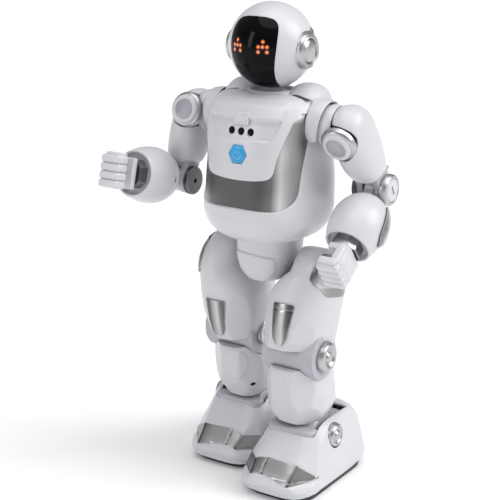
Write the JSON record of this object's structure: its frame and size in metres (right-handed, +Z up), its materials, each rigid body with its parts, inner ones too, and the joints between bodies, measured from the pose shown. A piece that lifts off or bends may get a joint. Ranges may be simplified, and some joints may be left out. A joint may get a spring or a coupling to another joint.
{
  "type": "walking humanoid robot",
  "caption": "Standing humanoid toy robot with a round visored head, a broad chest, hinged arms with gripping hands and two linked walking legs on rollered feet.",
  "frame": {"origin": "on the floor, under the middle of the robot's bounding box", "axes": "+Z up, the robot faces -Y, its left hand is at +X"},
  "size_m": [0.2174, 0.1988, 0.4],
  "materials": {
    "gloss_white": "glossy moulded white plastic",
    "shade_white": "satin light grey plastic",
    "chrome": "silver vacuum-plated plastic trim",
    "gunmetal": "dark silver metallic lacquer",
    "glossy_black": "glossy black plastic",
    "button_blue": "translucent blue plastic",
    "eye_orange": "orange light-emitting diodes",
    "board_green": "green circuit board laminate",
    "dark_plastic": "dark grey moulded plastic",
    "axle_steel": "plain steel shaft"
  },
  "bodies": {
    "root": {"chest_shell": "gloss_white", "back_shell": "gloss_white", "chest_plate": "gloss_white", "side_trim": "gunmetal", "sensor_lenses": "glossy_black", "shoulder_plates": "gunmetal", "battery_door": "shade_white", "battery_pack": "dark_plastic", "main_board": "board_green", "speaker": "dark_plastic", "pelvis_shell": "gloss_white", "walk_gearbox": "dark_plastic", "hip_axle": "axle_steel", "shoulder_axle": "axle_steel"},
    "head": {"head_shell": "gloss_white", "visor": "glossy_black", "eye_board": "board_green", "eye_leds": "eye_orange", "ear_rings": "chrome", "ear_caps": "chrome", "neck_post": "shade_white"},
    "power_key": {"power_button": "button_blue"},
    "left_arm": {"left_upper_arm": "gloss_white", "left_arm_boss": "chrome", "left_elbow_pin": "chrome"},
    "left_lower_arm": {"left_forearm": "gloss_white", "left_forearm_trim": "gunmetal"},
    "left_grip": {"left_cuff": "chrome", "left_hand": "gloss_white"},
    "left_thigh": {"left_thigh_link": "dark_plastic", "left_thigh_shell": "gloss_white", "left_thigh_trim": "chrome", "left_hip_plate": "chrome"},
    "left_shin": {"left_knee_block": "shade_white", "left_knee_pin": "chrome", "left_shin_shell": "gloss_white"},
    "left_foot": {"left_foot_shell": "gloss_white", "left_foot_band": "chrome", "left_sole_plate": "dark_plastic", "left_ankle_pin": "chrome"},
    "left_roller_axle": {"left_foot_rollers": "dark_plastic"},
    "right_arm": {"right_upper_arm": "gloss_white", "right_arm_boss": "chrome", "right_elbow_pin": "chrome"},
    "right_lower_arm": {"right_forearm": "gloss_white", "right_forearm_trim": "gunmetal"},
    "right_grip": {"right_cuff": "chrome", "right_hand": "gloss_white"},
    "right_thigh": {"right_thigh_link": "dark_plastic", "right_thigh_shell": "gloss_white", "right_thigh_trim": "chrome", "right_hip_plate": "chrome"},
    "right_shin": {"right_knee_block": "shade_white", "right_knee_pin": "chrome", "right_shin_shell": "gloss_white"},
    "right_foot": {"right_foot_shell": "gloss_white", "right_foot_band": "chrome", "right_sole_plate": "dark_plastic", "right_ankle_pin": "chrome"},
    "right_roller_axle": {"right_foot_rollers": "dark_plastic"}
  },
  "joints": [
    {"name": "head_turn", "type": "hinge", "parent": "root", "child": "head", "pos_m": [0, 0.01, 0.33], "axis": [0, 0, 1], "range_deg": [-60, 60]},
    {"name": "power_press", "type": "slide", "parent": "root", "child": "power_key", "axis": [0, 1, 0], "range_m": [0, 0.0012], "stiffness_N_per_m": 400},
    {"name": "left_shoulder", "type": "hinge", "parent": "root", "child": "left_arm", "pos_m": [0.05, 0.01, 0.306], "axis": [-1, 0, 0], "range_deg": [-22, 148]},
    {"name": "left_elbow", "type": "hinge", "parent": "left_arm", "child": "left_lower_arm", "pos_m": [0.081, 0.03817, 0.25302], "axis": [-1, 0, 0], "range_deg": [-62, 16]},
    {"name": "left_wrist", "type": "hinge", "parent": "left_lower_arm", "child": "left_grip", "pos_m": [0.0845, -0.00714, 0.22011], "axis": [0, -0.809, -0.5878], "range_deg": [-90, 90]},
    {"name": "right_shoulder", "type": "hinge", "parent": "root", "child": "right_arm", "pos_m": [-0.05, 0.01, 0.306], "axis": [-1, 0, 0], "range_deg": [-65, 105]},
    {"name": "right_elbow", "type": "hinge", "parent": "right_arm", "child": "right_lower_arm", "pos_m": [-0.081, -0.00553, 0.24804], "axis": [-1, 0, 0], "range_deg": [-70, 8]},
    {"name": "right_wrist", "type": "hinge", "parent": "right_lower_arm", "child": "right_grip", "pos_m": [-0.0845, -0.05962, 0.26254], "axis": [0, -0.9659, 0.2588], "range_deg": [-90, 90]},
    {"name": "left_hip", "type": "hinge", "parent": "root", "child": "left_thigh", "pos_m": [0.038, 0.01, 0.184], "axis": [-1, 0, 0], "range_deg": [-22, 0]},
    {"name": "right_hip", "type": "hinge", "parent": "root", "child": "right_thigh", "pos_m": [-0.038, 0.01, 0.184], "axis": [-1, 0, 0], "range_deg": [0, 22]},
    {"name": "left_knee", "type": "hinge", "parent": "left_thigh", "child": "left_shin", "pos_m": [0.038, -0.00541, 0.11726], "axis": [-1, 0, 0], "range_deg": [0, 18.1]},
    {"name": "right_knee", "type": "hinge", "parent": "right_thigh", "child": "right_shin", "pos_m": [-0.038, 0.02072, 0.11634], "axis": [-1, 0, 0], "range_deg": [-18.1, 0]},
    {"name": "left_ankle", "type": "hinge", "parent": "left_shin", "child": "left_foot", "pos_m": [0.038, 0.00555, 0.04478], "axis": [-1, 0, 0], "range_deg": [0, 3.9]},
    {"name": "right_ankle", "type": "hinge", "parent": "right_shin", "child": "right_foot", "pos_m": [-0.038, 0.03658, 0.04478], "axis": [-1, 0, 0], "range_deg": [-3.9, 0]},
    {"name": "left_roller_spin", "type": "hinge", "parent": "left_foot", "child": "left_roller_axle", "pos_m": [0.0365, 0.04155, 0.006], "axis": [-1, 0, 0], "continuous": true},
    {"name": "right_roller_spin", "type": "hinge", "parent": "right_foot", "child": "right_roller_axle", "pos_m": [-0.0365, 0.07258, 0.006], "axis": [-1, 0, 0], "continuous": true}
  ],
  "couplings": [
    {"joint": "right_hip", "follows": "left_hip", "ratio": -1},
    {"joint": "left_knee", "follows": "left_hip", "ratio": -0.8229},
    {"joint": "right_knee", "follows": "left_hip", "ratio": 0.8229},
    {"joint": "left_ankle", "follows": "left_hip", "ratio": -0.1771},
    {"joint": "right_ankle", "follows": "left_hip", "ratio": 0.1771}
  ]
}
